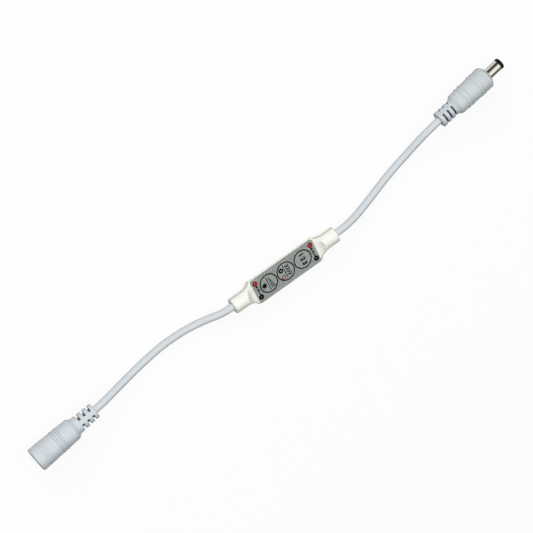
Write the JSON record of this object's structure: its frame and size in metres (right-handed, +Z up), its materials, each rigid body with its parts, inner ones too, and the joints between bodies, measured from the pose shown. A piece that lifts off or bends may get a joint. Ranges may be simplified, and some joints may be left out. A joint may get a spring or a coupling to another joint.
{
  "type": "light strip dimmer",
  "caption": "Inline dimmer for a low-voltage light strip: a flat ivory housing with round film keys between two pale cables that end in a barrel jack and a barrel plug.",
  "frame": {"origin": "on the surface it lies on, under the middle of the housing", "axes": "+X along the housing, from the jack's cable to the plug's cable; +Z up, out of the keys"},
  "size_m": [0.2798, 0.0396, 0.012],
  "materials": {
    "housing_plastic": "satin",
    "keypad_film": "fine matt",
    "key_film": "fine matt",
    "stem_plastic": "moulded",
    "black_moulding": "moulded",
    "spring_steel": "bright",
    "board_laminate": "lacquered",
    "ceramic": "matt",
    "solder": "bright",
    "red_insulation": "satin",
    "black_insulation": "satin",
    "cable_sheath": "satin",
    "dark_insulator": "moulded",
    "nickel_contact": "nickel plated"
  },
  "bodies": {
    "housing": {"bottom_shell": "housing_plastic", "brightness_dome": "spring_steel", "brightness_switch_base": "black_moulding", "brightness_switch_cover": "spring_steel", "capacitors": "ceramic", "circuit_board": "board_laminate", "controller_chip": "black_moulding", "input_black_wire": "black_insulation", "input_cable": "cable_sheath", "input_cable_end": "cable_sheath", "input_red_wire": "red_insulation", "jack_insert": "dark_insulator", "jack_overmould": "cable_sheath", "jack_pin": "nickel_contact", "jack_spring": "nickel_contact", "keypad_film": "keypad_film", "mode_dome": "spring_steel", "mode_switch_base": "black_moulding", "mode_switch_cover": "spring_steel", "output_black_wire": "black_insulation", "output_cable": "cable_sheath", "output_cable_end": "cable_sheath", "output_red_wire": "red_insulation", "plug_barrel": "nickel_contact", "plug_inner_contact": "nickel_contact", "plug_insulator": "dark_insulator", "plug_overmould": "cable_sheath", "power_transistor": "black_moulding", "resistors": "black_moulding", "solder_joints": "solder", "speed_dome": "spring_steel", "speed_switch_base": "black_moulding", "speed_switch_cover": "spring_steel", "switch_leads": "spring_steel", "top_shell": "housing_plastic", "voltage_regulator": "black_moulding"},
    "brightness_button": {"brightness_key": "key_film", "brightness_stem": "stem_plastic"},
    "speed_button": {"speed_key": "key_film", "speed_stem": "stem_plastic"},
    "mode_button": {"mode_key": "key_film", "mode_stem": "stem_plastic"}
  },
  "joints": [
    {"name": "brightness_press", "type": "slide", "parent": "housing", "child": "brightness_button", "axis": [0, 0, -1], "range_m": [0, 0.00025], "stiffness_N_per_m": 6000, "deforming": ["brightness_dome"]},
    {"name": "speed_press", "type": "slide", "parent": "housing", "child": "speed_button", "axis": [0, 0, -1], "range_m": [0, 0.00025], "stiffness_N_per_m": 6000, "deforming": ["speed_dome"]},
    {"name": "mode_press", "type": "slide", "parent": "housing", "child": "mode_button", "axis": [0, 0, -1], "range_m": [0, 0.00025], "stiffness_N_per_m": 6000, "deforming": ["mode_dome"]}
  ]
}
